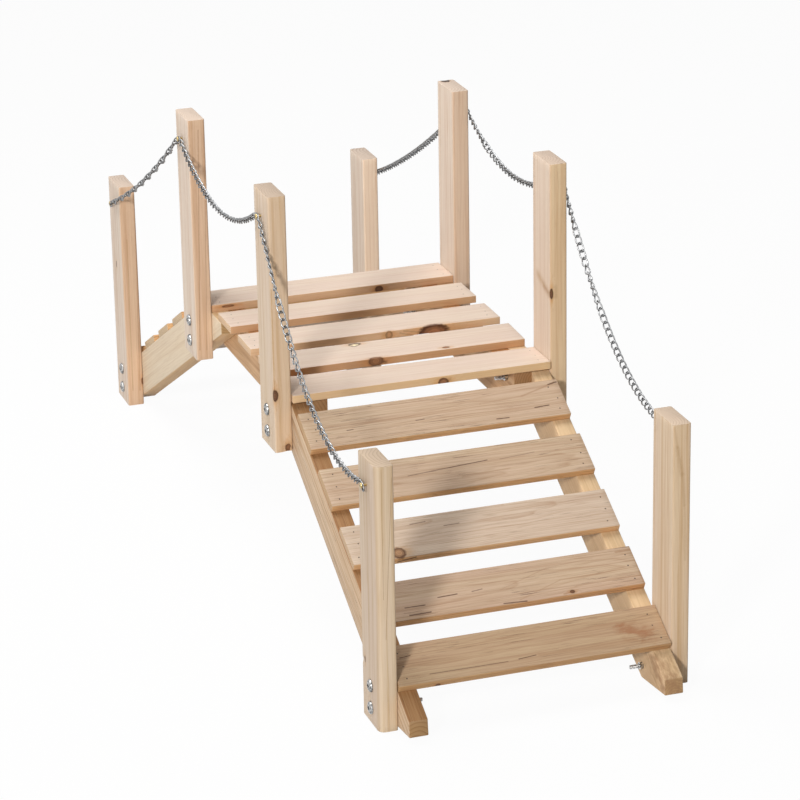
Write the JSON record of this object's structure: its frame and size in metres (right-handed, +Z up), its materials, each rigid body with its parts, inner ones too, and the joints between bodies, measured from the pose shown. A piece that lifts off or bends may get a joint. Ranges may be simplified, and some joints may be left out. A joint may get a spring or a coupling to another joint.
{
  "type": "garden bridge",
  "caption": "Small wooden garden bridge with a level slatted deck, a slatted ramp at each end, upright posts and a hanging chain rail along each side.",
  "frame": {"origin": "middle of the bridge at ground level", "axes": "+X across the bridge, +Y along the walkway towards the far ramp, +Z up"},
  "size_m": [0.6178, 1.9632, 0.814],
  "materials": {
    "post_wood": "satin",
    "stringer_wood": "satin",
    "deck_wood": "satin",
    "tread_wood": "satin",
    "zinc_chain": "satin",
    "yellow_zinc": "satin"
  },
  "bodies": {
    "root": {"left_near_deck_post": "post_wood", "left_near_end_post": "post_wood", "left_far_deck_post": "post_wood", "left_far_end_post": "post_wood", "left_near_ramp_stringer": "stringer_wood", "left_far_ramp_stringer": "stringer_wood", "left_deck_stringer": "stringer_wood", "right_near_deck_post": "post_wood", "right_near_end_post": "post_wood", "right_far_deck_post": "post_wood", "right_far_end_post": "post_wood", "right_near_ramp_stringer": "stringer_wood", "right_far_ramp_stringer": "stringer_wood", "right_deck_stringer": "stringer_wood", "deck_board_1": "deck_wood", "deck_board_2": "deck_wood", "deck_board_3": "deck_wood", "deck_board_4": "deck_wood", "deck_board_5": "deck_wood", "near_ramp_tread_1": "tread_wood", "near_ramp_tread_2": "tread_wood", "near_ramp_tread_3": "tread_wood", "near_ramp_tread_4": "tread_wood", "near_ramp_tread_5": "tread_wood", "far_ramp_tread_1": "tread_wood", "far_ramp_tread_2": "tread_wood", "far_ramp_tread_3": "tread_wood", "far_ramp_tread_4": "tread_wood", "far_ramp_tread_5": "tread_wood", "left_chain": "zinc_chain", "left_chain_screws": "yellow_zinc", "right_chain": "zinc_chain", "right_chain_screws": "yellow_zinc"}
  },
  "joints": []
}
